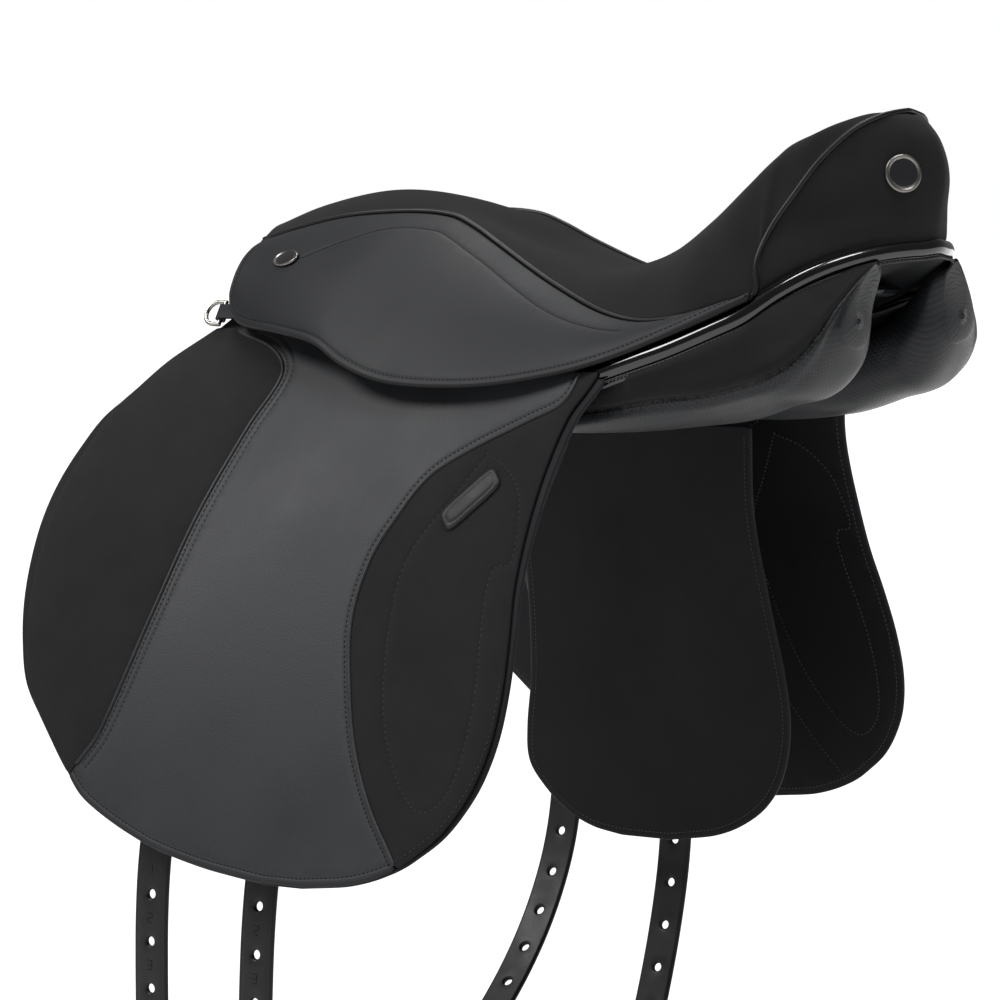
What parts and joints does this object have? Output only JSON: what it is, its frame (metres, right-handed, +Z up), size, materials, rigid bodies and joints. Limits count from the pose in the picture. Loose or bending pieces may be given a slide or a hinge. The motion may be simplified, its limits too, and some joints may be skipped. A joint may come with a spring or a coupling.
{
  "type": "english saddle",
  "caption": "Close-contact riding saddle with deep cantle, double-layer flaps, flocked panels, spring tree, stirrup bars, front rings and long girth straps.",
  "frame": {"origin": "on the middle plane, level with the lowest part of the panels' hinge line to the sweat flaps, under the low part of the seat", "axes": "+X from the head to the cantle, +Y towards the far (right) side, +Z up"},
  "size_m": [0.553, 0.524, 0.7244],
  "materials": {
    "spring_tree": "moulded",
    "plate_steel": "brushed",
    "webbing": "woven",
    "foam": "foam",
    "suede": "suede",
    "patent_leather": "glossy",
    "welt_leather": "satin",
    "badge_metal": "satin",
    "panel_leather": "perforated",
    "bar_steel": "brushed",
    "nickel": "polished",
    "strap_leather": "satin",
    "rubber_label": "matte",
    "lining_leather": "satin",
    "block_leather": "satin",
    "smooth_leather": "satin"
  },
  "bodies": {
    "root": {"tree": "spring_tree", "head_plate": "plate_steel", "head_plate_rivets": "plate_steel", "seat_webs": "webbing", "front_girth_web": "webbing", "rear_girth_web": "webbing", "seat_foam": "foam", "seat_cover": "suede", "cantle_facing": "suede", "cantle_welt": "welt_leather", "cantle_band": "patent_leather", "near_welt": "welt_leather", "far_welt": "welt_leather", "near_skirt_upper": "smooth_leather", "far_skirt_upper": "smooth_leather", "near_badge": "badge_metal", "far_badge": "badge_metal", "cantle_badge": "badge_metal", "near_panel": "panel_leather", "far_panel": "panel_leather", "near_panel_piping": "patent_leather", "far_panel_piping": "patent_leather", "near_stirrup_bar": "bar_steel", "far_stirrup_bar": "bar_steel", "near_dee_tab": "lining_leather", "far_dee_tab": "lining_leather", "near_flap_upper": "smooth_leather", "far_flap_upper": "smooth_leather"},
    "near_flap_lower": {"near_flap": "smooth_leather", "near_knee_suede": "suede", "near_flap_centre": "smooth_leather", "near_thigh_suede": "suede", "near_label": "rubber_label", "near_keepers": "lining_leather"},
    "near_skirt_lobe": {"near_skirt": "smooth_leather"},
    "near_sweat": {"near_sweat_flap": "lining_leather", "near_knee_block": "block_leather"},
    "near_ring": {"near_dee": "nickel"},
    "near_catch": {"near_bar_catch": "bar_steel"},
    "near_front_girth_strap": {"near_front_strap": "strap_leather"},
    "near_rear_girth_strap": {"near_rear_strap": "strap_leather"},
    "far_flap_lower": {"far_flap": "smooth_leather", "far_knee_suede": "suede", "far_flap_centre": "smooth_leather", "far_thigh_suede": "suede", "far_label": "rubber_label", "far_keepers": "lining_leather"},
    "far_skirt_lobe": {"far_skirt": "smooth_leather"},
    "far_sweat": {"far_sweat_flap": "lining_leather", "far_knee_block": "block_leather"},
    "far_ring": {"far_dee": "nickel"},
    "far_catch": {"far_bar_catch": "bar_steel"},
    "far_front_girth_strap": {"far_front_strap": "strap_leather"},
    "far_rear_girth_strap": {"far_rear_strap": "strap_leather"}
  },
  "joints": [
    {"name": "near_flap_lift", "type": "hinge", "parent": "root", "child": "near_flap_lower", "pos_m": [-0.1, -0.13277, 0.03], "axis": [-0.9961, 0.0886, 0], "range_deg": [0, 60]},
    {"name": "near_skirt_lift", "type": "hinge", "parent": "root", "child": "near_skirt_lobe", "pos_m": [-0.055, -0.12, 0.07], "axis": [-1, 0, 0], "range_deg": [0, 30]},
    {"name": "near_sweat_flap_flex", "type": "hinge", "parent": "root", "child": "near_sweat", "pos_m": [-0.07, -0.101, 0.004], "axis": [-1, 0, 0], "range_deg": [-24, 0], "stiffness_Nm_per_rad": 1.5, "springref_deg": 4.58},
    {"name": "near_ring_swing", "type": "hinge", "parent": "root", "child": "near_ring", "pos_m": [-0.256, -0.081, 0.075], "axis": [0, 0.5, 0.866], "range_deg": [-15, 75]},
    {"name": "near_catch_turn", "type": "hinge", "parent": "root", "child": "near_catch", "pos_m": [-0.094, -0.109, 0.074], "axis": [0, -1, 0], "range_deg": [0, 35]},
    {"name": "near_front_strap_swing", "type": "hinge", "parent": "root", "child": "near_front_girth_strap", "pos_m": [-0.185, -0.112, 0.032], "axis": [0, -0.866, 0.5], "range_deg": [-15, 5]},
    {"name": "near_rear_strap_swing", "type": "hinge", "parent": "root", "child": "near_rear_girth_strap", "pos_m": [-0.098, -0.112, 0.032], "axis": [0, -0.866, 0.5], "range_deg": [-5, 15]},
    {"name": "far_flap_lift", "type": "hinge", "parent": "root", "child": "far_flap_lower", "pos_m": [-0.1, 0.13277, 0.03], "axis": [0.9961, 0.0886, 0], "range_deg": [0, 60]},
    {"name": "far_skirt_lift", "type": "hinge", "parent": "root", "child": "far_skirt_lobe", "pos_m": [-0.055, 0.12, 0.07], "axis": [1, 0, 0], "range_deg": [0, 30]},
    {"name": "far_sweat_flap_flex", "type": "hinge", "parent": "root", "child": "far_sweat", "pos_m": [-0.07, 0.101, 0.004], "axis": [1, 0, 0], "range_deg": [-12, 4], "stiffness_Nm_per_rad": 1.5, "springref_deg": 2.58},
    {"name": "far_ring_swing", "type": "hinge", "parent": "root", "child": "far_ring", "pos_m": [-0.256, 0.081, 0.075], "axis": [0, 0.5, -0.866], "range_deg": [-15, 75]},
    {"name": "far_catch_turn", "type": "hinge", "parent": "root", "child": "far_catch", "pos_m": [-0.094, 0.109, 0.074], "axis": [0, -1, 0], "range_deg": [0, 35]},
    {"name": "far_front_strap_swing", "type": "hinge", "parent": "root", "child": "far_front_girth_strap", "pos_m": [-0.185, 0.112, 0.032], "axis": [0, -0.9135, -0.4067], "range_deg": [-15, 5]},
    {"name": "far_rear_strap_swing", "type": "hinge", "parent": "root", "child": "far_rear_girth_strap", "pos_m": [-0.098, 0.112, 0.032], "axis": [0, -0.9135, -0.4067], "range_deg": [-5, 15]}
  ]
}
